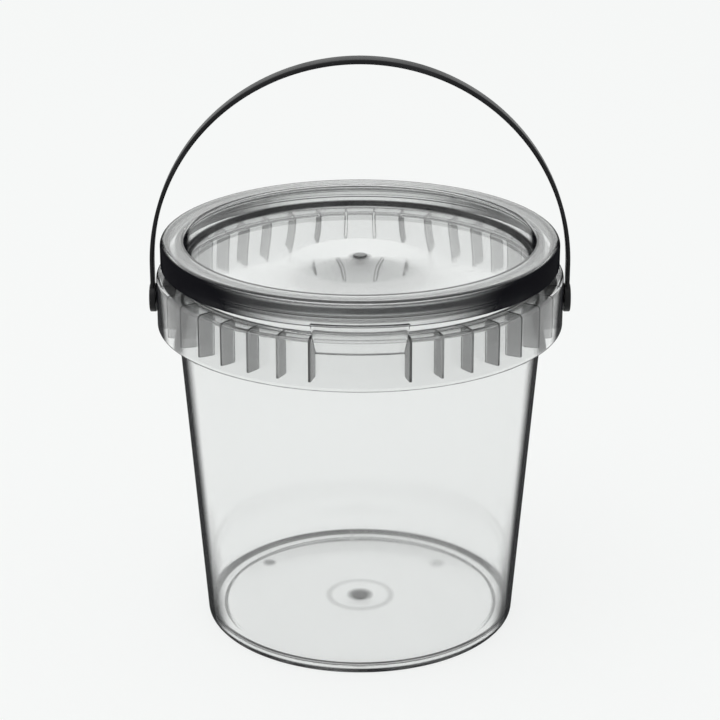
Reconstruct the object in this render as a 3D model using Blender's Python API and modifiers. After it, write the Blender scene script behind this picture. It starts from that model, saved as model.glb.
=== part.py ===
"""A clear pail of about 1.2 litres: tub with a ribbed collar, snap lid, plastic bail and tear-off tab.

Metres, +Z up. The tub stands on z = 0 with its axis on Z. The tab faces -Y and the bail's studs lie along X.
"""

import math

import bmesh
import bpy
from mathutils import Matrix, Vector

# Clearance between two pieces that touch or run in each other
FIT = 0.0003

# Tub wall and floor
BASE_RADIUS = 0.0529
NECK_RADIUS = 0.0604
NECK_DEPTH = 0.0332
RIM_HEIGHT = 0.1332
WALL = 0.0011
FLOOR_WALL = 0.0013
FLOOR_ROUND = 0.0025
BASE_ROUND = 0.0012
FOOT_RISE = 0.0012
FOOT_WIDTH = 0.0040
FOOT_SLOPE = 0.0012

# Gate vestige at the centre of the tub's underside and of the lid
GATE_RADIUS = 0.0022
GATE_RELIEF = 0.0005

# Rim of the tub: a flange with a turned-down lip that the lid snaps over
RIM_ROUND = 0.0004
LIP_REACH = 0.0038
LIP_WALL = 0.0011
LIP_DEPTH = 0.0037
LIP_ROUND = 0.0014

# Lid
SNAP_BEAD = 0.0005
SNAP_BEAD_HEIGHT = 0.0006
SNAP_BEAD_SLOPE = 0.0004
LID_WALL = 0.0010
CREST_WALL = 0.0012
CREST_ROUND = 0.0018
CREST_INNER_ROUND = 0.0008
PANEL_DROP = 0.0072
PANEL_ROUND = 0.0010
SKIRT_DEPTH = 0.0084

# Collar round the neck, with gussets back to the wall
SHOULDER_DROP = 0.0105
COLLAR_WALL = 0.0012
COLLAR_DEPTH = 0.0169
COLLAR_ROUND = 0.0010
WEB_WALL = 0.0012
RIB_COUNT = 40
RIB_WALL = 0.0008
RIB_DEPTH = 0.0132
RIB_BITE = 0.0005

# Tear-off tab in the front of the collar
TAB_TOP_WIDTH = 0.0312
TAB_FOOT_WIDTH = 0.0272
TAB_HEIGHT = 0.0092
TAB_RISE = 0.0049
TAB_EDGE_ROUND = 0.0003

# Bail
BAIL_GAP = 0.0008
BAIL_THICKNESS = 0.0013
BAIL_WIDTH = 0.0052
BAIL_CROWN = 0.0003
BAIL_EDGE_ROUND = 0.0004
LEG_LENGTH = 0.0116
PIVOT_DROP = 0.0097
EYE_RADIUS = 0.0048
EYE_THICKNESS = 0.0022
STUD_RADIUS = 0.0020
STUD_HEAD_RADIUS = 0.0029
STUD_TIP_RADIUS = 0.0022
STUD_HEAD_LENGTH = 0.0014

# Cuts run this far past the faces that they cut
OVERRUN = 0.0010

# Fineness of the round shapes
TURN_STEPS = 80
ROUND_STEPS = 3
EYE_STEPS = 24
ARCH_STEPS = 36
TAB_COLUMNS = 8
MERGE_DISTANCE = 0.00001
SHARP_ANGLE = math.radians(32)

# Sizes that follow from those above
NECK_INNER = NECK_RADIUS - WALL
LIP_RADIUS = NECK_RADIUS + LIP_REACH
SKIRT_INNER = LIP_RADIUS + SNAP_BEAD + FIT
LID_RADIUS = SKIRT_INNER + LID_WALL
COLLAR_INNER = LID_RADIUS + FIT
COLLAR_RADIUS = COLLAR_INNER + COLLAR_WALL
CREST_HEIGHT = RIM_HEIGHT + FIT + CREST_WALL
SHOULDER_HEIGHT = RIM_HEIGHT - SHOULDER_DROP
NECK_FOOT = RIM_HEIGHT - NECK_DEPTH
PIVOT_HEIGHT = SHOULDER_HEIGHT - PIVOT_DROP
TAB_FOOT = SHOULDER_HEIGHT + TAB_RISE - TAB_HEIGHT


def clear_scene():
    """Empty the scene of what Blender starts with."""
    for item in list(bpy.data.objects):
        bpy.data.objects.remove(item, do_unlink=True)


def new_collection(name):
    """A collection linked to the scene."""
    collection = bpy.data.collections.new(name)
    bpy.context.scene.collection.children.link(collection)
    return collection


def plastic(name, colour, roughness, alpha):
    """A moulded plastic: colour, roughness and how much of it shows."""
    material = bpy.data.materials.new(name)
    material.use_nodes = True
    surface = material.node_tree.nodes["Principled BSDF"]
    surface.inputs["Base Color"].default_value = (*colour, 1)
    surface.inputs["Roughness"].default_value = roughness
    surface.inputs["Metallic"].default_value = 0
    surface.inputs["Alpha"].default_value = alpha
    return material


def new_object(name, mesh, collection):
    """An object for a mesh, linked to a collection."""
    item = bpy.data.objects.new(name, mesh)
    collection.objects.link(item)
    return item


def as_cutter(item):
    """Mark an object as a guide that only cuts or joins others."""
    item.hide_render = True
    item.display_type = "WIRE"
    return item


def arc(centre_radius, centre_height, radius, start_degrees, end_degrees):
    """Points of a round corner in a turned profile."""
    points = []
    for step in range(ROUND_STEPS + 1):
        share = step / ROUND_STEPS
        angle = math.radians(start_degrees + (end_degrees - start_degrees) * share)
        points.append(
            (centre_radius + radius * math.cos(angle), centre_height + radius * math.sin(angle))
        )
    return points


def turned(name, profile, steps, collection):
    """A solid of revolution about Z, from a profile that runs down its outer side."""
    mesh = bpy.data.meshes.new(name)
    edges = [(index, index + 1) for index in range(len(profile) - 1)]
    mesh.from_pydata([(radius, 0, height) for radius, height in profile], edges, [])
    item = new_object(name, mesh, collection)
    screw = item.modifiers.new("Turn", "SCREW")
    screw.steps = steps
    screw.render_steps = steps
    screw.use_merge_vertices = True
    screw.merge_threshold = MERGE_DISTANCE
    return item


def flat_outline(name, points, thickness, collection):
    """A plate whose outline lies in the XZ plane, centred on y = 0."""
    curve = bpy.data.curves.new(name, "CURVE")
    curve.dimensions = "2D"
    curve.fill_mode = "BOTH"
    curve.extrude = thickness / 2
    spline = curve.splines.new("POLY")
    spline.points.add(len(points) - 1)
    for point, (across, up) in zip(spline.points, points):
        point.co = (across, up, 0, 1)
    spline.use_cyclic_u = True
    guide = bpy.data.objects.new(name, curve)
    bpy.context.scene.collection.objects.link(guide)
    mesh = evaluated_mesh(guide)
    bpy.data.objects.remove(guide, do_unlink=True)
    mesh.transform(Matrix.Rotation(math.pi / 2, 4, "X"))
    weld(mesh)
    return new_object(name, mesh, collection)


def evaluated_mesh(item):
    """The mesh of an object with its modifiers applied."""
    graph = bpy.context.evaluated_depsgraph_get()
    return bpy.data.meshes.new_from_object(item.evaluated_get(graph))


def weld(mesh):
    """Join the loose caps of a mesh and point its faces outwards."""
    work = bmesh.new()
    work.from_mesh(mesh)
    bmesh.ops.remove_doubles(work, verts=work.verts, dist=MERGE_DISTANCE)
    bmesh.ops.recalc_face_normals(work, faces=work.faces)
    work.to_mesh(mesh)
    work.free()


def combined(name, copies, collection):
    """One object from placed copies of meshes, given as pairs of mesh and matrix."""
    work = bmesh.new()
    for mesh, matrix in copies:
        placed = mesh.copy()
        placed.transform(matrix)
        work.from_mesh(placed)
        bpy.data.meshes.remove(placed)
    mesh = bpy.data.meshes.new(name)
    work.to_mesh(mesh)
    work.free()
    return new_object(name, mesh, collection)


def boolean(item, other, operation):
    """Join or cut an object with another one."""
    change = item.modifiers.new(other.name, "BOOLEAN")
    change.operation = operation
    change.object = other
    change.solver = "EXACT"


def settle(item, material):
    """Apply an object's modifiers, shade it smooth between its sharp edges and give it its material."""
    mesh = evaluated_mesh(item)
    item.modifiers.clear()
    item.data = mesh
    mesh.name = item.name
    mesh.materials.clear()
    mesh.materials.append(material)
    mesh.shade_smooth()
    mesh.set_sharp_from_angle(angle=SHARP_ANGLE)
    return item


def wall_radius(height):
    """Outer radius of the wall at a height: it tapers up to the foot of the straight neck."""
    return BASE_RADIUS + (NECK_RADIUS - BASE_RADIUS) * min(height / NECK_FOOT, 1)


def tub_profile():
    """Section of the tub, from the floor's inside over the rim and collar to the underside."""
    floor_top = FOOT_RISE + FLOOR_WALL
    floor_corner = floor_top + FLOOR_ROUND
    flange_under = RIM_HEIGHT - LIP_WALL
    lip_inner = LIP_RADIUS - LIP_WALL
    web_under = SHOULDER_HEIGHT - WEB_WALL
    collar_foot = SHOULDER_HEIGHT - COLLAR_DEPTH
    foot_outer = wall_radius(BASE_ROUND) - BASE_ROUND
    foot_inner = foot_outer - FOOT_WIDTH
    points = [(0, floor_top)]
    points += arc(
        wall_radius(floor_corner) - WALL - FLOOR_ROUND, floor_corner, FLOOR_ROUND, -90, 0
    )
    points += [(NECK_INNER, NECK_FOOT)]
    points += [(NECK_INNER, RIM_HEIGHT - RIM_ROUND), (NECK_INNER + RIM_ROUND, RIM_HEIGHT)]
    points += arc(LIP_RADIUS - LIP_ROUND, RIM_HEIGHT - LIP_ROUND, LIP_ROUND, 90, 0)
    points += [(LIP_RADIUS, RIM_HEIGHT - LIP_DEPTH), (lip_inner, RIM_HEIGHT - LIP_DEPTH)]
    points += [(lip_inner, flange_under), (NECK_RADIUS, flange_under)]
    points += [(NECK_RADIUS, SHOULDER_HEIGHT)]
    points += arc(
        COLLAR_RADIUS - COLLAR_ROUND, SHOULDER_HEIGHT - COLLAR_ROUND, COLLAR_ROUND, 90, 0
    )
    points += [(COLLAR_RADIUS, collar_foot), (COLLAR_INNER, collar_foot)]
    points += [(COLLAR_INNER, web_under), (NECK_RADIUS, web_under)]
    points += [(NECK_RADIUS, NECK_FOOT)]
    points += arc(wall_radius(BASE_ROUND) - BASE_ROUND, BASE_ROUND, BASE_ROUND, 0, -90)
    points += [(foot_inner, 0), (foot_inner - FOOT_SLOPE, FOOT_RISE)]
    points += [(GATE_RADIUS, FOOT_RISE), (GATE_RADIUS, FOOT_RISE - GATE_RELIEF)]
    points += [(0, FOOT_RISE - GATE_RELIEF)]
    return points


def lid_profile():
    """Section of the lid, from the panel's top over the crest and skirt to its underside."""
    crest_under = CREST_HEIGHT - CREST_WALL
    panel_top = CREST_HEIGHT - PANEL_DROP
    panel_corner = panel_top + PANEL_ROUND
    plug_outer = NECK_INNER - FIT
    plug_inner = plug_outer - LID_WALL
    skirt_foot = CREST_HEIGHT - SKIRT_DEPTH
    bead_top = RIM_HEIGHT - LIP_DEPTH - FIT
    bead_foot = bead_top - SNAP_BEAD_HEIGHT
    inner_round = CREST_ROUND - LID_WALL
    points = [(0, panel_top + GATE_RELIEF), (GATE_RADIUS, panel_top + GATE_RELIEF)]
    points += [(GATE_RADIUS, panel_top)]
    points += arc(plug_inner - PANEL_ROUND, panel_corner, PANEL_ROUND, -90, 0)
    points += arc(
        plug_inner + CREST_INNER_ROUND, CREST_HEIGHT - CREST_INNER_ROUND, CREST_INNER_ROUND, 180, 90
    )
    points += arc(LID_RADIUS - CREST_ROUND, CREST_HEIGHT - CREST_ROUND, CREST_ROUND, 90, 0)
    points += [(LID_RADIUS, skirt_foot), (SKIRT_INNER, skirt_foot)]
    points += [(SKIRT_INNER, bead_foot - SNAP_BEAD_SLOPE), (SKIRT_INNER - SNAP_BEAD, bead_foot)]
    points += [(SKIRT_INNER - SNAP_BEAD, bead_top), (SKIRT_INNER, bead_top + SNAP_BEAD_SLOPE)]
    points += arc(SKIRT_INNER - inner_round, crest_under - inner_round, inner_round, 0, 90)
    points += [(plug_outer, crest_under)]
    points += arc(plug_inner - PANEL_ROUND, panel_corner, PANEL_ROUND + LID_WALL, 0, -90)
    points += [(0, panel_top - LID_WALL)]
    return points


def rib_angles():
    """Angles of the gussets, evenly spaced and clear of the tab."""
    half_tab = TAB_TOP_WIDTH / 2 / COLLAR_RADIUS
    rib_turn = RIB_WALL / 2 / COLLAR_RADIUS
    pitch = 2 * math.pi / RIB_COUNT
    front = -math.pi / 2
    angles = [front + pitch * (index + 1 / 2) for index in range(RIB_COUNT)]
    clear = half_tab - rib_turn
    return [turn for turn in angles if clear < (turn - front) < 2 * math.pi - clear]


def make_ribs(cutters):
    """Gussets between the wall and the collar, as one object to be joined to the tub."""
    web_under = SHOULDER_HEIGHT - WEB_WALL
    top = web_under + WEB_WALL / 2
    foot = web_under - RIB_DEPTH
    outer = COLLAR_INNER + RIB_BITE
    outline = [
        (wall_radius(foot) - RIB_BITE, foot),
        (outer, foot),
        (outer, top),
        (wall_radius(top) - RIB_BITE, top),
    ]
    rib = flat_outline("rib", outline, RIB_WALL, cutters)
    copies = [(rib.data, Matrix.Rotation(turn, 4, "Z")) for turn in rib_angles()]
    ribs = combined("ribs", copies, cutters)
    bpy.data.objects.remove(rib, do_unlink=True)
    return as_cutter(ribs)


def bent_block(name, radii, heights, half_widths, collection):
    """A block bent round the axis at the front: radii, heights and half widths go from inner or low to
    outer or high, and the half widths are measured along the collar's outer face."""
    work = bmesh.new()
    bmesh.ops.create_cube(work, size=1)
    across = [edge for edge in work.edges if abs(edge.verts[0].co.x - edge.verts[1].co.x) > 1 / 2]
    bmesh.ops.subdivide_edges(work, edges=across, cuts=TAB_COLUMNS - 1, use_grid_fill=True)
    for vertex in work.verts:
        outward = 1 / 2 - vertex.co.y
        upward = vertex.co.z + 1 / 2
        radius = radii[0] + (radii[1] - radii[0]) * outward
        half_width = half_widths[0] + (half_widths[1] - half_widths[0]) * upward
        turn = vertex.co.x * 2 * half_width / COLLAR_RADIUS
        height = heights[0] + (heights[1] - heights[0]) * upward
        vertex.co = (radius * math.sin(turn), -radius * math.cos(turn), height)
    mesh = bpy.data.meshes.new(name)
    work.to_mesh(mesh)
    work.free()
    return new_object(name, mesh, collection)


def tab_half_width(height):
    """Half width of the tab at a height, carried on past its ends."""
    share = (height - TAB_FOOT) / TAB_HEIGHT
    return (TAB_FOOT_WIDTH + (TAB_TOP_WIDTH - TAB_FOOT_WIDTH) * share) / 2


def make_notch(cutters):
    """Cutter for the tab's seat in the collar."""
    radii = (COLLAR_INNER - FIT, COLLAR_RADIUS + OVERRUN)
    heights = (TAB_FOOT - FIT, SHOULDER_HEIGHT + OVERRUN)
    half_widths = [tab_half_width(height) + FIT for height in heights]
    return as_cutter(bent_block("tab_notch", radii, heights, half_widths, cutters))


def make_ear_holes(cutters):
    """Cutter for the two holes in the collar that hold the bail's studs."""
    length = COLLAR_WALL + 2 * OVERRUN
    centre = COLLAR_INNER + COLLAR_WALL / 2
    work = bmesh.new()
    for side in (-1, 1):
        place = Matrix.Translation((side * centre, 0, PIVOT_HEIGHT))
        bmesh.ops.create_cone(
            work,
            cap_ends=True,
            segments=EYE_STEPS,
            radius1=STUD_RADIUS + FIT,
            radius2=STUD_RADIUS + FIT,
            depth=length,
            matrix=place @ Matrix.Rotation(math.pi / 2, 4, "Y"),
        )
    mesh = bpy.data.meshes.new("ear_holes")
    work.to_mesh(mesh)
    work.free()
    return as_cutter(new_object("ear_holes", mesh, cutters))


def make_tub(parts, cutters, material):
    """The tub: wall, floor, rim, collar and gussets in one moulding."""
    tub = turned("tub", tub_profile(), TURN_STEPS, parts)
    boolean(tub, make_ribs(cutters), "UNION")
    boolean(tub, make_notch(cutters), "DIFFERENCE")
    boolean(tub, make_ear_holes(cutters), "DIFFERENCE")
    return settle(tub, material)


def make_lid(parts, material):
    """The lid, whose channel fits over the rim and whose plug fits inside the neck."""
    lid = turned("lid", lid_profile(), TURN_STEPS, parts)
    settle(lid, material)
    seat = Vector((0, 0, RIM_HEIGHT))
    lid.data.transform(Matrix.Translation(-seat))
    lid.location = seat
    return lid


def make_tab(parts, material):
    """The tear-off tab, flush with the collar and standing in front of the lid's skirt."""
    radii = (COLLAR_INNER, COLLAR_RADIUS)
    heights = (TAB_FOOT, TAB_FOOT + TAB_HEIGHT)
    half_widths = [tab_half_width(height) for height in heights]
    tab = bent_block("tamper_tab", radii, heights, half_widths, parts)
    edge = tab.modifiers.new("Edges", "BEVEL")
    edge.width = TAB_EDGE_ROUND
    edge.segments = 1
    edge.limit_method = "ANGLE"
    settle(tab, material)
    seat = Vector((0, -COLLAR_INNER, TAB_FOOT))
    tab.data.transform(Matrix.Translation(-seat))
    tab.location = seat
    return tab


def arch_points(radius, centre_height):
    """Points over an arch from its right foot to its left foot, with the legs' feet on z = 0."""
    points = [(radius, 0)]
    for step in range(ARCH_STEPS + 1):
        angle = math.pi * step / ARCH_STEPS
        points.append((radius * math.cos(angle), centre_height + radius * math.sin(angle)))
    return points + [(-radius, 0)]


def foot_profile():
    """Section of the bail's foot: an eye, a stud and its barbed head, turned about the joint's axis."""
    eye_inner = -EYE_THICKNESS
    shaft_end = eye_inner - FIT - COLLAR_WALL - FIT
    return [
        (0, 0),
        (EYE_RADIUS, 0),
        (EYE_RADIUS, eye_inner),
        (STUD_RADIUS, eye_inner),
        (STUD_RADIUS, shaft_end),
        (STUD_HEAD_RADIUS, shaft_end),
        (STUD_TIP_RADIUS, shaft_end - STUD_HEAD_LENGTH),
        (0, shaft_end - STUD_HEAD_LENGTH),
    ]


def make_feet(cutters):
    """Both feet of the bail about the joint's axis, as one object to be joined to the arch."""
    foot = turned("foot", foot_profile(), EYE_STEPS, cutters)
    mesh = evaluated_mesh(foot)
    reach = COLLAR_RADIUS + FIT + EYE_THICKNESS
    copies = []
    for side in (-1, 1):
        place = Matrix.Translation((side * reach, 0, 0))
        copies.append((mesh, place @ Matrix.Rotation(side * math.pi / 2, 4, "Y")))
    feet = combined("feet", copies, cutters)
    bpy.data.objects.remove(foot, do_unlink=True)
    return as_cutter(feet)


def make_bail(parts, cutters, material):
    """The bail: a flat strip bent into an arch, with a stud at each foot. Its origin is on its axis."""
    inner = COLLAR_RADIUS + BAIL_GAP
    outer = inner + BAIL_THICKNESS
    outline = arch_points(inner, LEG_LENGTH)
    outline += reversed(arch_points(outer, LEG_LENGTH + BAIL_CROWN))
    bail = flat_outline("bail_handle", outline, BAIL_WIDTH, parts)
    edge = bail.modifiers.new("Edges", "BEVEL")
    edge.width = BAIL_EDGE_ROUND
    edge.segments = 1
    edge.limit_method = "ANGLE"
    edge.angle_limit = SHARP_ANGLE
    boolean(bail, make_feet(cutters), "UNION")
    settle(bail, material)
    bail.location = (0, 0, PIVOT_HEIGHT)
    return bail


def main():
    """Build the pail."""
    clear_scene()
    parts = new_collection("pail")
    cutters = new_collection("pail cutters")
    clear = plastic("clear polypropylene", (0.90, 0.92, 0.92), 0.12, 0.35)
    dark = plastic("black polypropylene", (0.020, 0.020, 0.022), 0.35, 1)
    make_tub(parts, cutters, clear)
    make_lid(parts, clear)
    make_tab(parts, clear)
    make_bail(parts, cutters, dark)


main()
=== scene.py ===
"""Looks of a clear lidded pail with a black plastic bail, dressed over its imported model.

Lengths are in metres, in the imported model's frame: +Z up, the tab at the front towards -Y, the
bail's studs along X.
"""

import logging
import math
from collections.abc import Sequence
from dataclasses import dataclass, field
from enum import Enum

import bmesh
import bpy
from mathutils import Matrix, Vector


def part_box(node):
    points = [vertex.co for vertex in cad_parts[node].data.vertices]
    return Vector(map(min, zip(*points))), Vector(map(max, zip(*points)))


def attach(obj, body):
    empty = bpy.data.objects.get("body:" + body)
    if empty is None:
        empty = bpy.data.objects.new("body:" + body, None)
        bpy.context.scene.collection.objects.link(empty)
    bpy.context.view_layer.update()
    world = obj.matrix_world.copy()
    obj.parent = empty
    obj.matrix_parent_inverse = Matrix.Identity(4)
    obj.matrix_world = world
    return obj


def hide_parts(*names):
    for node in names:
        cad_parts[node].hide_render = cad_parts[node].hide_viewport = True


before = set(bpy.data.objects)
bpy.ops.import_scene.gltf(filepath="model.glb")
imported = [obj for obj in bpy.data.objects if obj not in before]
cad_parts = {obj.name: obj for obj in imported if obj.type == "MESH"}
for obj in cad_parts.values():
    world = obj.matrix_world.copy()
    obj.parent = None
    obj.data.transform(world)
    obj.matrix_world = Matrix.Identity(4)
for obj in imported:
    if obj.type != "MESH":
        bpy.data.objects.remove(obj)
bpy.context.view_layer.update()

LOG = logging.getLogger("pail")
BACKDROP_TINT = (0.945, 0.958, 0.951)
MERGE_DISTANCE = 1e-6
SHARP_ANGLE = math.radians(34)
OVERRUN = 0.001

Pair = tuple[float, float]
Triple = tuple[float, float, float]
Sockets = dict[str | int, object]


class Body(Enum):
    """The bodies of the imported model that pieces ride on."""

    TUB = "tub"
    LID = "lid"
    TAB = "tamper_tab"
    BAIL = "bail"


class Slot(Enum):
    """The record's material slots."""

    CLEAR = "clear_plastic"
    BLACK = "black_plastic"


class Change(Enum):
    """What a Boolean modifier does with the other object."""

    JOIN = "UNION"
    CUT = "DIFFERENCE"


class Ramp(Enum):
    """How a value goes from 0 to 1 over a span."""

    EVEN = "LINEAR"
    SOFT = "SMOOTHSTEP"


class Ray(Enum):
    """The rays that show the backdrop, as Light Path names them."""

    STRAIGHT = "Is Camera Ray"
    IN_GLOSS = "Is Glossy Ray"
    THROUGH = "Is Transmission Ray"


@dataclass(frozen=True)
class Zone:
    """A ring or round spot, with soft sides, in which the clear plastic is darkened.

    It is about the axis unless moved. At bends and stacked walls this is painted shade. In a stack of
    walls, turned says how far from view a wall has to turn for the shade to start and to be full.
    """

    low: float
    high: float
    inner: float
    outer: float
    share: float
    softness: float = 0.0005
    across: float = 0.0
    along: float = 0.0
    turned: Pair = (0.0, 1.0)


class Value:
    """A number that varies over a surface or shape, with Python operators that add Math nodes."""

    def __init__(self, graph: "NodeTree", socket: bpy.types.NodeSocket) -> None:
        """Wrap a socket of a tree.

        Args:
            graph: The tree that holds the socket.
            socket: The output socket that carries the number.
        """
        self.graph = graph
        self.socket = socket

    def _math(self, operation: str, left: "Operand", right: "Operand" = 0.0) -> "Value":
        """Add one Math node.

        Args:
            operation: The Math node's operation.
            left: Its first operand.
            right: Its second operand, where it has one.

        Returns:
            The node's result.
        """
        return self.graph.value("ShaderNodeMath", {0: left, 1: right}, operation=operation)

    def __add__(self, other: "Operand") -> "Value":
        """Return self + other."""
        return self._math("ADD", self, other)

    def __radd__(self, other: "Operand") -> "Value":
        """Return other + self."""
        return self._math("ADD", other, self)

    def __sub__(self, other: "Operand") -> "Value":
        """Return self - other."""
        return self._math("SUBTRACT", self, other)

    def __rsub__(self, other: "Operand") -> "Value":
        """Return other - self."""
        return self._math("SUBTRACT", other, self)

    def __mul__(self, other: "Operand") -> "Value":
        """Return self * other."""
        return self._math("MULTIPLY", self, other)

    def __rmul__(self, other: "Operand") -> "Value":
        """Return other * self."""
        return self._math("MULTIPLY", other, self)

    def __truediv__(self, other: "Operand") -> "Value":
        """Return self / other."""
        return self._math("DIVIDE", self, other)

    def __rtruediv__(self, other: "Operand") -> "Value":
        """Return other / self."""
        return self._math("DIVIDE", other, self)

    def __gt__(self, other: "Operand") -> "Value":
        """Return 1 where self > other."""
        return self._math("GREATER_THAN", self, other)

    def __lt__(self, other: "Operand") -> "Value":
        """Return 1 where self < other."""
        return self._math("LESS_THAN", self, other)

    def __abs__(self) -> "Value":
        """Return self without its sign."""
        return self._math("ABSOLUTE", self)

    def root(self) -> "Value":
        """Return the square root of self."""
        return self._math("SQRT", self)

    def sine(self) -> "Value":
        """Return the sine of self."""
        return self._math("SINE", self)

    def cosine(self) -> "Value":
        """Return the cosine of self."""
        return self._math("COSINE", self)

    def largest(self, other: "Operand") -> "Value":
        """Return the larger of self and other."""
        return self._math("MAXIMUM", self, other)

    def smallest(self, other: "Operand") -> "Value":
        """Return the smaller of self and other."""
        return self._math("MINIMUM", self, other)


Operand = Value | float


class NodeTree:
    """A node tree whose nodes all come from one method."""

    def __init__(self, tree: bpy.types.NodeTree) -> None:
        """Wrap an empty tree.

        Args:
            tree: The tree.
        """
        self.tree = tree

    def node(self, kind: str, sockets: Sockets | None = None, **settings: object) -> bpy.types.Node:
        """Add a node.

        Args:
            kind: The node's type.
            sockets: Values or links of its input sockets, by name or index; a list gives several links.
            settings: Its properties, such as a Math node's operation, which are set first.

        Returns:
            The node.
        """
        made = self.tree.nodes.new(kind)
        for name, setting in settings.items():
            setattr(made, name, setting)
        for name, given in (sockets or {}).items():
            for item in given if isinstance(given, list) else [given]:
                source = item.socket if isinstance(item, Value) else item
                if isinstance(source, bpy.types.NodeSocket):
                    self.tree.links.new(source, made.inputs[name])
                else:
                    made.inputs[name].default_value = source
        return made

    def value(self, kind: str, sockets: Sockets | None = None, **settings: object) -> Value:
        """Add a node as node does, and return its first output."""
        return Value(self, self.node(kind, sockets, **settings).outputs[0])

    def parts(self, vector: bpy.types.NodeSocket) -> list[Value]:
        """Split a vector into its X, Y and Z."""
        made = self.node("ShaderNodeSeparateXYZ", {"Vector": vector})
        return [Value(self, socket) for socket in made.outputs]


class ShaderGraph(NodeTree):
    """The shader nodes of one material or world."""

    def __init__(self, holder: bpy.types.Material | bpy.types.World) -> None:
        """Clear a material's or world's nodes.

        Args:
            holder: The material or world.
        """
        holder.use_nodes = True
        super().__init__(holder.node_tree)
        self.holder = holder
        self.tree.nodes.clear()

    def place(self, stretch: Triple = (1, 1, 1)) -> bpy.types.NodeSocket:
        """Object coordinates, scaled along each axis.

        Args:
            stretch: The scale along X, Y and Z.

        Returns:
            The scaled coordinates.
        """
        source = self.node("ShaderNodeTexCoord")
        mapped = self.node("ShaderNodeMapping", {"Vector": source.outputs["Object"], "Scale": stretch})
        return mapped.outputs["Vector"]

    def noise(self, place: bpy.types.NodeSocket, scale: float, detail: float) -> Value:
        """Fractal noise between 0 and 1.

        Args:
            place: Where it is read.
            scale: Features per metre.
            detail: Octaves.

        Returns:
            The noise.
        """
        return self.value("ShaderNodeTexNoise", {"Vector": place, "Scale": scale, "Detail": detail})

    def between(self, value: Value, low: float, high: float, ramp: Ramp = Ramp.EVEN) -> Value:
        """Map the span from low to high to 0 to 1, clamped.

        Args:
            value: What is mapped.
            low: What becomes 0.
            high: What becomes 1.
            ramp: How it goes from 0 to 1.

        Returns:
            The mapped value.
        """
        span = {"Value": value, "From Min": low, "From Max": high}
        return self.value("ShaderNodeMapRange", span, interpolation_type=ramp.value)

    def blend(self, share: Value, first: Triple, second: Triple) -> bpy.types.NodeSocket:
        """Mix two colours.

        Args:
            share: How much of the second colour shows.
            first: The first colour.
            second: The second colour.

        Returns:
            The mixed colour.
        """
        colours = {"Factor": share, "A": (*first, 1), "B": (*second, 1)}
        return self.node("ShaderNodeMix", colours, data_type="RGBA").outputs["Result"]

    def layer(self, share: Value, under: bpy.types.Node, over: bpy.types.Node) -> bpy.types.NodeSocket:
        """Mix two shaders.

        Args:
            share: How much of the second shader shows.
            under: The first shader.
            over: The second shader.

        Returns:
            The mixed shader.
        """
        shaders = {0: share, 1: under.outputs[0], 2: over.outputs[0]}
        return self.node("ShaderNodeMixShader", shaders).outputs[0]

    def bump(self, height: Value, distance: float, strength: float) -> bpy.types.NodeSocket:
        """Turn a height into a normal.

        Args:
            height: The height, as a share of the distance.
            distance: The height of 1.
            strength: How much of it shows.

        Returns:
            The normal.
        """
        relief = {"Height": height, "Distance": distance, "Strength": strength}
        return self.node("ShaderNodeBump", relief).outputs["Normal"]

    def ring(self, zone: Zone, place: Sequence[Value]) -> Value:
        """Find how far a point lies in a zone.

        Args:
            zone: The ring or spot.
            place: The point's X, Y and Z.

        Returns:
            The zone's share inside it, falling to 0 over its soft sides.
        """
        soft = zone.softness
        across, along, height = place[0] - zone.across, place[1] - zone.along, place[2]
        radius = (across * across + along * along).root()
        inside = self.between(height, zone.low - soft, zone.low)
        inside = inside * self.between(height, zone.high + soft, zone.high)
        inside = inside * self.between(radius, zone.inner - soft, zone.inner)
        inside = inside * self.between(radius, zone.outer + soft, zone.outer)
        return inside * zone.share

    def shown(self) -> Value:
        """Find whether a ray shows the backdrop.

        Returns:
            1 for such a ray, and 0 for one that only brings light.
        """
        path = self.node("ShaderNodeLightPath")
        shown = Value(self, path.outputs[Ray.STRAIGHT.value])
        for ray in (Ray.IN_GLOSS, Ray.THROUGH):
            shown = shown.largest(Value(self, path.outputs[ray.value]))
        return shown


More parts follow.
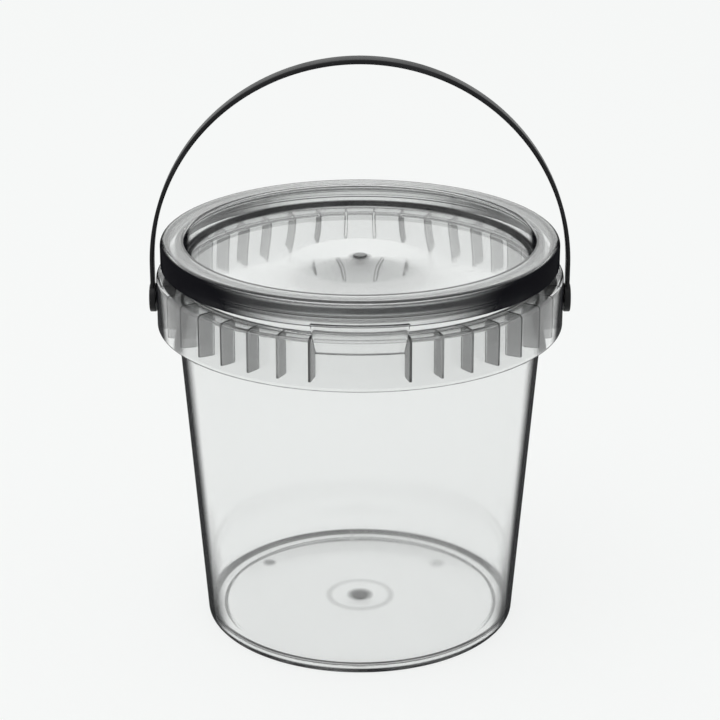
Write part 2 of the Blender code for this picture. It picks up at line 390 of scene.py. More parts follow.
@dataclass(frozen=True)
class ClearPlastic:
    """Clear polypropylene: it refracts, takes light away in its depth and has painted shade at its edges.

    Corners and gussets bend the light away, and painted shade stands in for that; the stacked walls
    of the rim are painted black as shade where they turn from view.
    """

    name: str = "clear polypropylene"
    tint: Triple = (0.985, 0.990, 0.988)
    refraction: float = 1.49
    gloss_level: float = 0.30
    clear_share: float = 0.96
    absorption: float = 18.0
    absorption_tint: Triple = (0.06, 0.07, 0.07)
    flow_stretch: Triple = (1, 1, 0.45)
    flow_scale: float = 38.0
    flow_detail: float = 2.0
    flow_depth: float = 0.0004
    flow_strength: float = 0.05
    smooth_roughness: float = 0.02
    hazy_roughness: float = 0.10
    haze_scale: float = 19.0
    haze_detail: float = 3.0
    haze_limits: Pair = (0.35, 0.75)
    haze_share: float = 0.5
    scuff_stretch: Triple = (1, 1, 0.12)
    scuff_scale: float = 420.0
    scuff_detail: float = 4.0
    scuff_limits: Pair = (0.56, 0.80)
    # Near-black colour of the painted shade at edges, stacked walls and bends, also used for darker moulding
    # marks.
    painted_shade_and_mark_tint: Triple = (0.006, 0.006, 0.008)
    edge_roughness: float = 0.5
    # Painted shade along the edges, which grows as a wall turns from view.
    facing_blend: float = 0.5
    edge_limits: Pair = (0.70, 0.82)
    edge_share: float = 0.95
    flat_limits: Pair = (0.70, 0.95)
    uneven_limits: Pair = (0.3, 0.7)
    uneven_share: float = 0.18
    # Painted shade: the stacked walls of the rim and foot go black as they turn from view, and the bends
    # darken from every side.
    rim_stack: Zone = Zone(0.1262, 0.1342, 0.0625, 0.0670, 0.98, turned=(0.05, 0.34))
    foot_stack: Zone = Zone(-0.0010, 0.0080, 0.0500, 0.0570, 0.85, 0.0260, turned=(0.58, 0.78))
    crest_bend: Zone = Zone(0.1310, 0.1325, 0.0650, 0.0670, 0.72)
    panel_bend: Zone = Zone(0.1262, 0.1284, 0.0564, 0.0597, 0.72)
    collar_bend: Zone = Zone(0.1070, 0.1212, 0.0611, 0.0659, 0.50)
    foot_bend: Zone = Zone(-0.0010, 0.0017, 0.0506, 0.0540, 1.0)
    # Moulding marks, darkened.
    floor_gate: Zone = Zone(0.0004, 0.0030, -1.0, 0.0026, 0.62, 0.0024)
    floor_gate_ring: Zone = Zone(0.0004, 0.0030, 0.0105, 0.0112, 0.14, 0.0012)
    lid_gate: Zone = Zone(0.1260, 0.1290, -1.0, 0.0020, 0.42, 0.0022)
    left_mark: Zone = Zone(0.0004, 0.0030, -1.0, 0.0012, 0.45, 0.0016, across=-0.0330, along=0.0250)
    right_mark: Zone = Zone(0.0004, 0.0030, -1.0, 0.0016, 0.16, 0.0020, across=0.0280, along=0.0245)

    @property
    def stacks(self) -> tuple[Zone, ...]:
        """Stacked walls, painted black as shade where they turn from view."""
        return (self.rim_stack, self.foot_stack)

    @property
    def spots(self) -> tuple[Zone, ...]:
        """Bends and moulding marks, darkened from every side; at the bends this is painted shade."""
        bends = (self.crest_bend, self.panel_bend, self.collar_bend, self.foot_bend)
        return (*bends, self.floor_gate, self.floor_gate_ring, self.lid_gate, self.left_mark, self.right_mark)

    def material(self) -> bpy.types.Material:
        """Build the finish.

        Returns:
            The material.
        """
        graph = ShaderGraph(bpy.data.materials.new(self.name))
        haze = graph.noise(graph.place(self.flow_stretch), self.haze_scale, self.haze_detail)
        flow = graph.noise(graph.place(self.flow_stretch), self.flow_scale, self.flow_detail)
        scuff = graph.noise(graph.place(self.scuff_stretch), self.scuff_scale, self.scuff_detail)
        spread = self.hazy_roughness - self.smooth_roughness
        hazy = graph.between(haze, *self.haze_limits) * (spread * self.haze_share)
        scuffed = graph.between(scuff, *self.scuff_limits) * spread
        surface = graph.node(
            "ShaderNodeBsdfPrincipled",
            {
                "Base Color": (*self.tint, 1),
                "Roughness": hazy + scuffed + self.smooth_roughness,
                "IOR": self.refraction,
                "Specular IOR Level": self.gloss_level,
                "Transmission Weight": self.clear_share,
                "Normal": graph.bump(flow, self.flow_depth, self.flow_strength),
            },
        )
        # Near-black shader, mixed in as painted shade at edges, the stacked rim and the bends, and for darker
        # moulding marks.
        shade = graph.node(
            "ShaderNodeBsdfPrincipled",
            {
                "Base Color": (*self.painted_shade_and_mark_tint, 1),
                "Roughness": self.edge_roughness,
                "Specular IOR Level": 0.0,
            },
        )
        depth = graph.node(
            "ShaderNodeVolumeAbsorption",
            {"Color": (*self.absorption_tint, 1), "Density": self.absorption},
        )
        # The painted shade is mixed over the clear plastic by the share that darkness finds.
        mixed = graph.layer(self.darkness(graph, flow), surface, shade)
        graph.node("ShaderNodeOutputMaterial", {"Surface": mixed, "Volume": depth.outputs[0]})
        return graph.holder

    def darkness(self, graph: ShaderGraph, flow: Value) -> Value:
        """Find the painted shade at edges, the stacked rim and bends, and the darkened moulding marks.

        Args:
            graph: The material's graph.
            flow: Slow noise that makes the bends uneven.

        Returns:
            The share of the near-black shader that is mixed in.
        """
        source = graph.node("ShaderNodeTexCoord")
        place = graph.parts(source.outputs["Object"])
        upward = graph.parts(source.outputs["Normal"])[2]
        upright = 1.0 - graph.between(upward * upward, *self.flat_limits, Ramp.SOFT)
        # Painted shade on upright walls, by how far they turn from view.
        weight = graph.node("ShaderNodeLayerWeight", {"Blend": self.facing_blend})
        facing = Value(graph, weight.outputs["Facing"])
        dark = graph.between(facing, *self.edge_limits, Ramp.SOFT) * upright * self.edge_share
        # Painted black shade on the stacked walls of the rim and foot where they turn from view.
        for stack in self.stacks:
            turned = graph.between(facing, *stack.turned, Ramp.SOFT)
            dark = dark.largest(turned * upright * graph.ring(stack, place))
        uneven = graph.between(flow, *self.uneven_limits) * self.uneven_share + (1 - self.uneven_share)
        # Painted shade at the bends, and darker moulding marks.
        for spot in self.spots:
            dark = dark.largest(graph.ring(spot, place) * uneven)
        return dark


@dataclass(frozen=True)
class BlackPlastic:
    """Black moulded polypropylene with a fine eroded grain."""

    name: str = "black polypropylene"
    tint: Triple = (0.004, 0.004, 0.005)
    roughness: float = 0.36
    gloss_level: float = 0.20
    grain_scale: float = 2600.0
    grain_detail: float = 2.0
    grain_depth: float = 0.00004
    grain_strength: float = 0.35
    worn_tint: Triple = (0.014, 0.014, 0.016)
    worn_roughness: float = 0.12
    wear_scale: float = 65.0
    wear_detail: float = 4.0
    wear_limits: Pair = (0.45, 0.75)

    def material(self) -> bpy.types.Material:
        """Build the finish.

        Returns:
            The material.
        """
        graph = ShaderGraph(bpy.data.materials.new(self.name))
        place = graph.place()
        grain = graph.noise(place, self.grain_scale, self.grain_detail)
        wear = graph.between(graph.noise(place, self.wear_scale, self.wear_detail), *self.wear_limits)
        surface = graph.node(
            "ShaderNodeBsdfPrincipled",
            {
                "Base Color": graph.blend(wear, self.tint, self.worn_tint),
                "Roughness": wear * self.worn_roughness + self.roughness,
                "Specular IOR Level": self.gloss_level,
                "Normal": graph.bump(grain, self.grain_depth, self.grain_strength),
            },
        )
        graph.node("ShaderNodeOutputMaterial", {"Surface": surface.outputs[0]})
        return graph.holder


@dataclass(frozen=True)
class StudioWhite:
    """The pale floor: it shows the backdrop's colour and keeps a soft shadow."""

    name: str = "studio floor"
    tint: Triple = BACKDROP_TINT
    even_share: float = 0.84

    def material(self) -> bpy.types.Material:
        """Build the finish.

        Returns:
            The material.
        """
        graph = ShaderGraph(bpy.data.materials.new(self.name))
        matt = graph.node("ShaderNodeBsdfDiffuse", {"Color": (*self.tint, 1)})
        even = graph.node("ShaderNodeEmission", {"Color": (*self.tint, 1), "Strength": 1.0})
        mixed = graph.layer(graph.shown() * self.even_share, matt, even)
        graph.node("ShaderNodeOutputMaterial", {"Surface": mixed})
        return graph.holder


class GeometryTree(NodeTree):
    """A Geometry Nodes tree with named inputs for its sizes."""

    def __init__(self, name: str, sizes: dict[str, float | int], takes_mesh: bool) -> None:
        """Make a tree with its interface.

        Args:
            name: The tree's name.
            sizes: The named inputs and their values.
            takes_mesh: Whether the tree reads the object's own mesh.
        """
        super().__init__(bpy.data.node_groups.new(name, "GeometryNodeTree"))
        self.sizes = sizes
        self.identifiers: dict[str, str] = {}
        face = self.tree.interface
        if takes_mesh:
            face.new_socket("Geometry", in_out="INPUT", socket_type="NodeSocketGeometry")
        for label, size in sizes.items():
            kind = "NodeSocketInt" if isinstance(size, int) else "NodeSocketFloat"
            socket = face.new_socket(label, in_out="INPUT", socket_type=kind)
            self.identifiers[label] = socket.identifier
        face.new_socket("Geometry", in_out="OUTPUT", socket_type="NodeSocketGeometry")
        given = self.node("NodeGroupInput").outputs
        self.mesh = given["Geometry"] if takes_mesh else None
        self.inputs = {label: Value(self, given[label]) for label in sizes}

    def mixed(self, share: Value, low: Operand, high: Operand) -> Value:
        """Go from low to high.

        Args:
            share: 0 gives low and 1 gives high.
            low: The value at 0.
            high: The value at 1.

        Returns:
            The value between them.
        """
        return self.value("ShaderNodeMix", {"Factor": share, "A": low, "B": high}, data_type="FLOAT")

    def move(self, shape: bpy.types.Node, *place: Operand) -> bpy.types.Node:
        """Move every point of a shape.

        Args:
            shape: The node that makes the shape.
            place: X, Y and Z of where the points go.

        Returns:
            The node that moves them.
        """
        point = self.node("ShaderNodeCombineXYZ", dict(enumerate(place)))
        sockets = {"Geometry": shape.outputs[0], "Position": point.outputs[0]}
        return self.node("GeometryNodeSetPosition", sockets)

    def finish(self, shape: bpy.types.NodeSocket, material: bpy.types.Material) -> None:
        """End the tree in Realize Instances and Set Material.

        Args:
            shape: The geometry.
            material: Its material.
        """
        real = self.node("GeometryNodeRealizeInstances", {"Geometry": shape})
        sockets = {"Geometry": real.outputs[0], "Material": material}
        dressed = self.node("GeometryNodeSetMaterial", sockets)
        self.node("NodeGroupOutput", {"Geometry": dressed.outputs[0]})

    def attach(self, item: bpy.types.Object) -> None:
        """Put the tree on an object and set its sizes.

        Args:
            item: The object.
        """
        modifier = item.modifiers.new(self.tree.name, "NODES")
        modifier.node_group = self.tree
        for label, size in self.sizes.items():
            modifier[self.identifiers[label]] = size


def link_object(name: str, data: bpy.types.ID) -> bpy.types.Object:
    """Link an object for a mesh, lamp or camera.

    Args:
        name: The object's name.
        data: Its mesh, lamp or camera.

    Returns:
        The object.
    """
    item = bpy.data.objects.new(name, data)
    bpy.context.scene.collection.objects.link(item)
    return item


def link_work(name: str, work: bmesh.types.BMesh) -> bpy.types.Object:
    """Link an object for a working mesh, which is freed.

    Args:
        name: The object's name.
        work: The working mesh.

    Returns:
        The object.
    """
    mesh = bpy.data.meshes.new(name)
    work.to_mesh(mesh)
    work.free()
    return link_object(name, mesh)


def round_corners(corners: Sequence[Triple], steps: int) -> list[Pair]:
    """Round the corners of an open outline.

    Args:
        corners: Radius, height and rounding of each corner.
        steps: Straight pieces in each rounded corner.

    Returns:
        The outline's points.
    """
    points = []
    for index, (radius, height, rounding) in enumerate(corners):
        here = Vector((radius, height))
        if rounding == 0 or index in (0, len(corners) - 1):
            points.append(tuple(here))
            continue
        before = Vector(corners[index - 1][:2]) - here
        after = Vector(corners[index + 1][:2]) - here
        half = before.angle(after) / 2
        reach = min(rounding / math.tan(half), before.length / 2, after.length / 2)
        size = reach * math.tan(half)
        inward = (before.normalized() + after.normalized()).normalized()
        centre = here + inward * size / math.sin(half)
        start = here + before.normalized() * reach - centre
        sweep = math.pi - 2 * half
        turn = -1 if before.x * after.y - before.y * after.x > 0 else 1
        for step in range(steps + 1):
            angle = turn * sweep * step / steps
            cosine, sine = math.cos(angle), math.sin(angle)
            spoke = Vector((start.x * cosine - start.y * sine, start.x * sine + start.y * cosine))
            points.append(tuple(centre + spoke))
    return points


def turn_outline(name: str, points: Sequence[Pair], steps: int) -> bpy.types.Object:
    """Turn an outline about Z.

    Args:
        name: The object's name.
        points: Radius and height of each point, running down the outer side.
        steps: Pieces in a full turn.

    Returns:
        An object whose Screw modifier makes the closed shape.
    """
    mesh = bpy.data.meshes.new(name)
    edges = [(index, index + 1) for index in range(len(points) - 1)]
    mesh.from_pydata([(radius, 0, height) for radius, height in points], edges, [])
    item = link_object(name, mesh)
    screw = item.modifiers.new("Turn", "SCREW")
    screw.steps = steps
    screw.render_steps = steps
    screw.use_merge_vertices = True
    screw.merge_threshold = MERGE_DISTANCE
    return item


def bake_mesh(item: bpy.types.Object) -> bpy.types.Mesh:
    """Turn an object and its modifiers into a plain mesh.

    Args:
        item: The object.

    Returns:
        The mesh.
    """
    graph = bpy.context.evaluated_depsgraph_get()
    return bpy.data.meshes.new_from_object(item.evaluated_get(graph))


def settle(item: bpy.types.Object, material: bpy.types.Material) -> None:
    """Apply an object's modifiers, shade it and give it its one material.

    Args:
        item: The object.
        material: Its material.
    """
    mesh = bake_mesh(item)
    item.modifiers.clear()
    item.data = mesh
    mesh.materials.clear()
    mesh.materials.append(material)
    mesh.shade_smooth()
    mesh.set_sharp_from_angle(angle=SHARP_ANGLE)


def combine(item: bpy.types.Object, other: bpy.types.Object, change: Change) -> None:
    """Join or cut an object with another one.

    Args:
        item: The object that changes.
        other: The one that joins or cuts it, which is hidden.
        change: Whether it joins or cuts.
    """
    modifier = item.modifiers.new(other.name, "BOOLEAN")
    modifier.operation = change.value
    modifier.object = other
    other.hide_render = True
    other.hide_viewport = True


def dress(item: bpy.types.Object, body: Body, node: str) -> None:
    """Put a finished piece on its body in place of its CAD node.

    Args:
        item: The piece.
        body: The body that it rides on.
        node: The CAD node that it stands for.
    """
    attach(item, body.value)
    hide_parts(node)


@dataclass
class Sizes:
    """Sizes that several mouldings follow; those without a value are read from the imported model."""

    fit: float = 0.0003
    turn_steps: int = 240
    round_steps: int = 6
    base_radius: float = 0.0529
    neck_radius: float = 0.0604
    neck_depth: float = 0.0332
    wall: float = 0.0011
    shoulder_drop: float = 0.0105
    collar_depth: float = 0.0169
    collar_wall: float = 0.0012
    lip_depth: float = 0.0037
    gate_radius: float = 0.0022
    gate_relief: float = 0.0005
    rim_height: float = field(init=False)
    collar_radius: float = field(init=False)
    lid_radius: float = field(init=False)
    crest_height: float = field(init=False)
    skirt_foot: float = field(init=False)
    tab_foot: float = field(init=False)
    tab_top: float = field(init=False)

    def __post_init__(self) -> None:
        """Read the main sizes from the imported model's boxes."""
        low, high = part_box("tub")
        self.rim_height = high.z
        self.collar_radius = high.x
        low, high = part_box("lid")
        self.lid_radius = high.x
        self.crest_height = high.z
        self.skirt_foot = low.z
        low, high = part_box("tamper_tab")
        self.tab_foot = low.z
        self.tab_top = high.z

    @property
    def shoulder_height(self) -> float:
        """Height of the collar's top face."""
        return self.rim_height - self.shoulder_drop

    @property
    def neck_foot(self) -> float:
        """Height at which the straight neck starts."""
        return self.rim_height - self.neck_depth

    @property
    def neck_inner(self) -> float:
        """Inner radius of the neck."""
        return self.neck_radius - self.wall

    @property
    def collar_inner(self) -> float:
        """Inner radius of the collar's skirt."""
        return self.collar_radius - self.collar_wall

    def wall_radius(self, height: float) -> float:
        """Outer radius of the wall, which tapers up to the foot of the straight neck.

        Args:
            height: Where it is measured.

        Returns:
            The radius.
        """
        share = min(height / self.neck_foot, 1)
        return self.base_radius + (self.neck_radius - self.base_radius) * share


@dataclass
class TamperTab:
    """The trapezoid tab that breaks off the collar's front."""

    sizes: Sizes
    top_width: float = 0.0312
    foot_width: float = 0.0272
    columns: int = 32
    edge: float = 0.00025
    bevel_segments: int = 3

    def half_width(self, height: float) -> float:
        """Half width at a height, carried on past the tab's ends.

        Args:
            height: Where it is measured.

        Returns:
            The half width along the collar's outer face.
        """
        share = (height - self.sizes.tab_foot) / (self.sizes.tab_top - self.sizes.tab_foot)
        return (self.foot_width + (self.top_width - self.foot_width) * share) / 2

    def block(self, name: str, radii: Pair, heights: Pair, spare: float) -> bpy.types.Object:
        """Make a block bent round the axis at the front.

        Args:
            name: The object's name.
            radii: Its inner and outer radius.
            heights: Its lower and upper height.
            spare: How much wider than the tab it is on each side.

        Returns:
            The object.
        """
        work = bmesh.new()
        bmesh.ops.create_cube(work, size=1)
        across = [edge for edge in work.edges if abs(edge.verts[0].co.x - edge.verts[1].co.x) > 1 / 2]
        bmesh.ops.subdivide_edges(work, edges=across, cuts=self.columns - 1, use_grid_fill=True)
        for vertex in work.verts:
            radius = radii[0] + (radii[1] - radii[0]) * (1 / 2 - vertex.co.y)
            height = heights[0] + (heights[1] - heights[0]) * (vertex.co.z + 1 / 2)
            turn = vertex.co.x * 2 * (self.half_width(height) + spare) / self.sizes.collar_radius
            vertex.co = (radius * math.sin(turn), -radius * math.cos(turn), height)
        return link_work(name, work)

    def notch(self) -> bpy.types.Object:
        """Make the cutter for the tab's seat in the collar.

        Returns:
            The cutter.
        """
        sizes = self.sizes
        radii = (sizes.lid_radius, sizes.collar_radius + OVERRUN)
        heights = (sizes.tab_foot - sizes.fit, sizes.shoulder_height + OVERRUN)
        return self.block("tab_notch", radii, heights, sizes.fit)

    def build(self, material: bpy.types.Material) -> bpy.types.Object:
        """Build and dress the tab.

        Args:
            material: Its finish.

        Returns:
            The piece.
        """
        sizes = self.sizes
        radii = (sizes.collar_inner, sizes.collar_radius)
        tab = self.block("tamper_tab_moulding", radii, (sizes.tab_foot, sizes.tab_top), 0)
        edge = tab.modifiers.new("Edges", "BEVEL")
        edge.width = self.edge
        edge.segments = self.bevel_segments
        edge.limit_method = "ANGLE"
        settle(tab, material)
        dress(tab, Body.TAB, "tamper_tab")
        return tab


@dataclass
class Tub:
    """The tub with its floor, rim, collar and gussets, which is one moulding."""

    sizes: Sizes
    floor_wall: float = 0.0013
    floor_round: float = 0.0025
    base_round: float = 0.0012
    foot_rise: float = 0.0012
    foot_width: float = 0.0040
    foot_slope: float = 0.0012
    lip_radius: float = 0.0642
    lip_wall: float = 0.0011
    lip_round: float = 0.0014
    edge_round: float = 0.0003
    inner_round: float = 0.0006
    collar_round: float = 0.0010
    web_wall: float = 0.0012
    rib_count: int = 40
    rib_wall: float = 0.0008
    rib_depth: float = 0.0132
    rib_bite: float = 0.0005
    stud_radius: float = 0.0020
    hole_steps: int = 48

    def corners(self) -> list[Triple]:
        """Corners of the section, from the floor's inside over the rim to the underside.

        Returns:
            Radius, height and rounding of each corner.
        """
        size = self.sizes
        edge, inner = self.edge_round, self.inner_round
        floor_top = self.foot_rise + self.floor_wall
        lip_foot = size.rim_height - size.lip_depth
        lip_inner = self.lip_radius - self.lip_wall
        flange_under = size.rim_height - self.lip_wall
        shoulder = size.shoulder_height
        web_under = shoulder - self.web_wall
        collar_foot = shoulder - size.collar_depth
        foot_inner = size.wall_radius(self.base_round) - self.base_round - self.foot_width
        gate_under = self.foot_rise - size.gate_relief
        return [
            (0, floor_top, 0),
            (size.wall_radius(floor_top) - size.wall, floor_top, self.floor_round),
            (size.neck_inner, size.neck_foot, self.floor_round),
            (size.neck_inner, size.rim_height, edge),
            (self.lip_radius, size.rim_height, self.lip_round),
            (self.lip_radius, lip_foot, edge),
            (lip_inner, lip_foot, edge),
            (lip_inner, flange_under, inner),
            (size.neck_radius, flange_under, inner),
            (size.neck_radius, shoulder, inner),
            (size.collar_radius, shoulder, self.collar_round),
            (size.collar_radius, collar_foot, edge),
            (size.collar_inner, collar_foot, edge),
            (size.collar_inner, web_under, inner),
            (size.neck_radius, web_under, inner),
            (size.neck_radius, size.neck_foot, self.floor_round),
            (size.wall_radius(0), 0, self.base_round),
            (foot_inner, 0, edge),
            (foot_inner - self.foot_slope, self.foot_rise, inner),
            (size.gate_radius, self.foot_rise, edge / 2),
            (size.gate_radius, gate_under, edge / 2),
            (0, gate_under, 0),
        ]

    def rib_tree(self, material: bpy.types.Material, half_tab: float) -> GeometryTree:
        """Build the tree that joins the gussets to the shell.

        Args:
            material: The tub's finish.
            half_tab: Half the tab's turn, which the gussets stay clear of.

        Returns:
            The tree.
        """
        size = self.sizes
        web_under = size.shoulder_height - self.web_wall
        top = web_under + self.web_wall / 2
        foot = web_under - self.rib_depth
        tree = GeometryTree(
            "Gussets",
            {
                "Count": self.rib_count,
                "Thickness": self.rib_wall,
                "Foot Height": foot,
                "Top Height": top,
                "Foot Radius": size.wall_radius(foot) - self.rib_bite,
                "Top Radius": size.wall_radius(top) - self.rib_bite,
                "Outer Radius": size.collar_inner + self.rib_bite,
                "Clear Turn": half_tab,
            },
            takes_mesh=True,
        )
        given = tree.inputs
        cube = tree.node("GeometryNodeMeshCube", {"Size": (1, 1, 1)})
        place = tree.node("GeometryNodeInputPosition")
        outward, sideways, upward = tree.parts(place.outputs[0])
        outward, upward = outward + 1 / 2, upward + 1 / 2
        inner = tree.mixed(upward, given["Foot Radius"], given["Top Radius"])
        rib = tree.move(
            cube,
            tree.mixed(outward, inner, given["Outer Radius"]),
            sideways * given["Thickness"],
            tree.mixed(upward, given["Foot Height"], given["Top Height"]),
        )
        points = tree.node("GeometryNodePoints", {"Count": given["Count"]})
        turn = (tree.value("GeometryNodeInputIndex") + 1 / 2) * (2 * math.pi / given["Count"])
        clear_turn = given["Clear Turn"]
        about_z = tree.node("ShaderNodeCombineXYZ", {"Z": turn - math.pi / 2})
        rotation = tree.node("FunctionNodeEulerToRotation", {"Euler": about_z.outputs[0]})
        ribs = tree.node(
            "GeometryNodeInstanceOnPoints",
            {
                "Points": points.outputs[0],
                "Selection": (turn > clear_turn) * (turn < 2 * math.pi - clear_turn),
                "Instance": rib.outputs[0],
                "Rotation": rotation.outputs[0],
            },
        )
        loose = tree.node("GeometryNodeRealizeInstances", {"Geometry": ribs.outputs[0]})
        joined = tree.node(
            "GeometryNodeMeshBoolean",
            {"Mesh 2": [tree.mesh, loose.outputs[0]]},
            operation="UNION",
            solver="EXACT",
        )
        tree.finish(joined.outputs["Mesh"], material)
        return tree

    def ear_holes(self, height: float) -> bpy.types.Object:
        """Make the cutter for the holes that hold the bail's studs.

        Args:
            height: Height of the bail's axis.

        Returns:
            The cutter.
        """
        size = self.sizes
        work = bmesh.new()
        for side in (-1, 1):
            centre = Vector((side * (size.collar_inner + size.collar_wall / 2), 0, height))
            bmesh.ops.create_cone(
                work,
                cap_ends=True,
                segments=self.hole_steps,
                radius1=self.stud_radius + size.fit,
                radius2=self.stud_radius + size.fit,
                depth=size.collar_wall + 2 * OVERRUN,
                matrix=Matrix.Translation(centre) @ Matrix.Rotation(math.pi / 2, 4, "Y"),
            )
        return link_work("ear_holes", work)

    def build(self, material: bpy.types.Material, tab: TamperTab, pivot: float) -> bpy.types.Object:
        """Build and dress the tub.

        Args:
            material: Its finish.
            tab: The tab that sits in its collar.
            pivot: Height of the bail's axis.

        Returns:
            The piece.
        """
        points = round_corners(self.corners(), self.sizes.round_steps)
        tub = turn_outline("tub_moulding", points, self.sizes.turn_steps)
        half_tab = tab.top_width / 2 / self.sizes.collar_radius
        self.rib_tree(material, half_tab - self.rib_wall / 2 / self.sizes.collar_radius).attach(tub)
        combine(tub, tab.notch(), Change.CUT)
        combine(tub, self.ear_holes(pivot), Change.CUT)
        settle(tub, material)
        dress(tub, Body.TUB, "tub")
        return tub


@dataclass
class Lid:
    """The lid, whose channel snaps over the rim and whose plug fits inside the neck."""

    sizes: Sizes
    wall: float = 0.0010
    crest_wall: float = 0.0012
    crest_round: float = 0.0018
    inner_round: float = 0.0008
    panel_drop: float = 0.0072
    panel_round: float = 0.0010
    edge_round: float = 0.0003
    snap_bead: float = 0.0005
    snap_bead_height: float = 0.0006
    snap_bead_slope: float = 0.0004

    def corners(self) -> list[Triple]:
        """Corners of the section, from the panel's top over the crest to its underside.

        Returns:
            Radius, height and rounding of each corner.
        """
        size = self.sizes
        edge = self.edge_round
        crest = size.crest_height
        crest_under = crest - self.crest_wall
        panel_top = crest - self.panel_drop
        plug_outer = size.neck_inner - size.fit
        plug_inner = plug_outer - self.wall
        skirt_inner = size.lid_radius - self.wall
        bead_radius = skirt_inner - self.snap_bead
        bead_top = size.rim_height - size.lip_depth - size.fit
        bead_foot = bead_top - self.snap_bead_height
        return [
            (0, panel_top + size.gate_relief, 0),
            (size.gate_radius, panel_top + size.gate_relief, edge / 2),
            (size.gate_radius, panel_top, edge / 2),
            (plug_inner, panel_top, self.panel_round),
            (plug_inner, crest, self.inner_round),
            (size.lid_radius, crest, self.crest_round),
            (size.lid_radius, size.skirt_foot, edge),
            (skirt_inner, size.skirt_foot, edge),
            (skirt_inner, bead_foot - self.snap_bead_slope, edge),
            (bead_radius, bead_foot, edge),
            (bead_radius, bead_top, edge),
            (skirt_inner, bead_top + self.snap_bead_slope, edge),
            (skirt_inner, crest_under, self.crest_round - self.wall),
            (plug_outer, crest_under, edge),
            (plug_outer, panel_top - self.wall, self.panel_round + self.wall),
            (0, panel_top - self.wall, 0),
        ]

    def build(self, material: bpy.types.Material) -> bpy.types.Object:
        """Build and dress the lid.

        Args:
            material: Its finish.

        Returns:
            The piece.
        """
        points = round_corners(self.corners(), self.sizes.round_steps)
        lid = turn_outline("lid_moulding", points, self.sizes.turn_steps)
        settle(lid, material)
        dress(lid, Body.LID, "lid")
        return lid


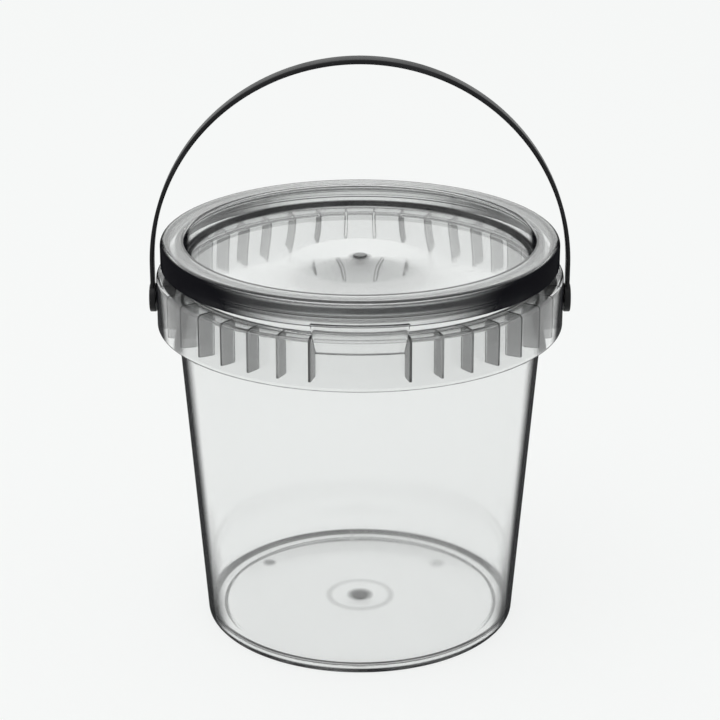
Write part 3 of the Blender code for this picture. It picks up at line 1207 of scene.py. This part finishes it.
@dataclass
class Bail:
    """The black bail: a strip over an arch, with a stud at each foot."""

    sizes: Sizes
    gap: float = 0.0008
    thickness: float = 0.0013
    width: float = 0.0052
    crown: float = 0.0003
    corner: float = 0.0004
    corner_steps: int = 4
    eye_radius: float = 0.0048
    eye_thickness: float = 0.0022
    stud_radius: float = 0.0020
    head_radius: float = 0.0029
    tip_radius: float = 0.0022
    head_length: float = 0.0014
    path_points: int = 161
    eye_steps: int = 64
    edge_round: float = 0.0004

    @property
    def pivot(self) -> float:
        """Height of the joint's axis, which is the eyes' centre."""
        low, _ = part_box("bail_handle")
        return low.z + self.eye_radius

    @property
    def inner_radius(self) -> float:
        """Inner radius of the arch and its legs."""
        return self.sizes.collar_radius + self.gap

    def arch_tree(self, material: bpy.types.Material) -> GeometryTree:
        """Build the tree that sweeps the strip over its legs and arch.

        Args:
            material: Its finish.

        Returns:
            The tree.
        """
        _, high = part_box("bail_handle")
        tree = GeometryTree(
            "Arch",
            {
                "Points": self.path_points,
                "Half Span": self.inner_radius + self.thickness / 2,
                "Rise": self.inner_radius + (self.thickness + self.crown) / 2,
                "Leg": high.z - self.pivot - self.inner_radius - self.thickness - self.crown,
                "Foot Height": self.pivot,
                "Thickness": self.thickness,
                "Width": self.width,
                "Swell": self.crown / self.thickness,
                "Corner": self.corner,
            },
            takes_mesh=False,
        )
        given = tree.inputs
        line = tree.node("GeometryNodeCurvePrimitiveLine")
        fine = tree.node("GeometryNodeResampleCurve", {"Curve": line.outputs[0], "Count": given["Points"]})
        along = Value(tree, tree.node("GeometryNodeSplineParameter").outputs["Factor"])
        half_span, leg = given["Half Span"], given["Leg"]
        quarter = half_span * (math.pi / 2)
        signed = (along - 1 / 2) * ((quarter + leg) * 2)
        turn = (signed / half_span).smallest(math.pi / 2).largest(-math.pi / 2)
        down = (abs(signed) - quarter).largest(0)
        cosine = turn.cosine()
        height = given["Foot Height"] + leg + given["Rise"] * cosine - down
        path = tree.move(fine, half_span * turn.sine(), 0, height)
        swell = cosine * given["Swell"] + 1
        path = tree.node("GeometryNodeSetCurveRadius", {"Curve": path.outputs[0], "Radius": swell})
        section = tree.node(
            "GeometryNodeCurvePrimitiveQuadrilateral",
            {"Width": given["Thickness"], "Height": given["Width"]},
        )
        section = tree.node(
            "GeometryNodeFilletCurve",
            {"Curve": section.outputs[0], "Count": self.corner_steps, "Radius": given["Corner"]},
            mode="POLY",
        )
        strip = tree.node(
            "GeometryNodeCurveToMesh",
            {
                "Curve": path.outputs[0],
                "Profile Curve": section.outputs[0],
                "Scale": swell,
                "Fill Caps": True,
            },
        )
        tree.finish(strip.outputs[0], material)
        return tree

    def foot_corners(self) -> list[Triple]:
        """Corners of a foot's section, from the eye's face to the stud's tip.

        Returns:
            Radius, height and rounding of each corner.
        """
        size = self.sizes
        eye_inner = -self.eye_thickness
        shaft_end = eye_inner - 2 * size.fit - size.collar_wall
        tip = shaft_end - self.head_length
        return [
            (0, 0, 0),
            (self.eye_radius, 0, self.edge_round),
            (self.eye_radius, eye_inner, self.edge_round),
            (self.stud_radius, eye_inner, 0),
            (self.stud_radius, shaft_end, 0),
            (self.head_radius, shaft_end, self.edge_round / 2),
            (self.tip_radius, tip, self.edge_round),
            (0, tip, 0),
        ]

    def feet(self) -> bpy.types.Object:
        """Make both feet about the joint's axis, as one object.

        Returns:
            The object.
        """
        size = self.sizes
        foot = turn_outline("foot", round_corners(self.foot_corners(), size.round_steps), self.eye_steps)
        mesh = bake_mesh(foot)
        bpy.data.objects.remove(foot)
        reach = size.collar_radius + size.fit + self.eye_thickness
        work = bmesh.new()
        for side in (-1, 1):
            placed = mesh.copy()
            centre = Matrix.Translation((side * reach, 0, self.pivot))
            placed.transform(centre @ Matrix.Rotation(side * math.pi / 2, 4, "Y"))
            work.from_mesh(placed)
        return link_work("feet", work)

    def build(self, material: bpy.types.Material) -> bpy.types.Object:
        """Build and dress the bail.

        Args:
            material: Its finish.

        Returns:
            The piece.
        """
        bail = link_object("bail_moulding", bpy.data.meshes.new("bail_moulding"))
        self.arch_tree(material).attach(bail)
        bail.data = bake_mesh(bail)
        bail.modifiers.clear()
        work = bmesh.new()
        work.from_mesh(bail.data)
        bmesh.ops.remove_doubles(work, verts=work.verts, dist=MERGE_DISTANCE)
        bmesh.ops.recalc_face_normals(work, faces=work.faces)
        work.to_mesh(bail.data)
        work.free()
        combine(bail, self.feet(), Change.JOIN)
        settle(bail, material)
        dress(bail, Body.BAIL, "bail_handle")
        return bail


@dataclass
class Studio:
    """A pale floor, an even pale surround, one soft lamp and the photograph's camera."""

    floor_size: float = 12.0
    surround: Triple = BACKDROP_TINT
    light_tint: Triple = (1, 1, 1)
    light_strength: float = 0.75
    lamp_power: float = 6.0
    lamp_size: float = 1.4
    lamp_place: Triple = (-0.5, -0.5, 1.6)
    camera_distance: float = 0.700
    camera_height: float = 0.362
    camera_pitch: float = math.radians(21.2)
    camera_lens: float = 111.25
    camera_sensor: float = 36.0

    def floor(self) -> None:
        """Make the floor."""
        work = bmesh.new()
        bmesh.ops.create_grid(work, x_segments=1, y_segments=1, size=self.floor_size / 2)
        floor = link_work("studio_floor", work)
        floor.data.materials.append(StudioWhite().material())

    def surroundings(self) -> None:
        """Make the world: even soft light, and the pale backdrop where it is seen or reflected."""
        graph = ShaderGraph(bpy.data.worlds.new("studio"))
        bpy.context.scene.world = graph.holder
        light = {"Color": (*self.light_tint, 1), "Strength": self.light_strength}
        lights = graph.node("ShaderNodeBackground", light)
        backdrop = graph.node("ShaderNodeBackground", {"Color": (*self.surround, 1)})
        mixed = graph.layer(graph.shown(), lights, backdrop)
        graph.node("ShaderNodeOutputWorld", {"Surface": mixed})

    def lamp(self) -> None:
        """Hang one large soft lamp over the pail."""
        light = bpy.data.lights.new("softbox", "AREA")
        light.shape = "DISK"
        light.size = self.lamp_size
        light.energy = self.lamp_power
        item = link_object("softbox", light)
        item.location = self.lamp_place
        item.rotation_euler = (-item.location).to_track_quat("-Z", "Y").to_euler()

    def camera(self) -> None:
        """Set up the camera at the photograph's viewing angle."""
        data = bpy.data.cameras.new("camera")
        data.lens = self.camera_lens
        data.sensor_width = self.camera_sensor
        item = link_object("camera", data)
        item.location = (0, -self.camera_distance, self.camera_height)
        item.rotation_euler = (math.pi / 2 - self.camera_pitch, 0, 0)
        bpy.context.scene.camera = item

    def build(self) -> None:
        """Build the studio and set the plain view transform."""
        self.floor()
        self.surroundings()
        self.lamp()
        self.camera()
        bpy.context.scene.view_settings.view_transform = "Standard"


def main() -> None:
    """Build every piece and the studio, and report each piece."""
    logging.basicConfig(level=logging.INFO, format="%(name)s %(message)s")
    sizes = Sizes()
    clear = ClearPlastic().material()
    black = BlackPlastic().material()
    tab = TamperTab(sizes)
    bail = Bail(sizes)
    pieces = [
        Tub(sizes).build(clear, tab, bail.pivot),
        Lid(sizes).build(clear),
        tab.build(clear),
        bail.build(black),
    ]
    for piece in pieces:
        LOG.info("%s: %d faces", piece.name, len(piece.data.polygons))
    Studio().build()


if __name__ == "__main__":
    main()
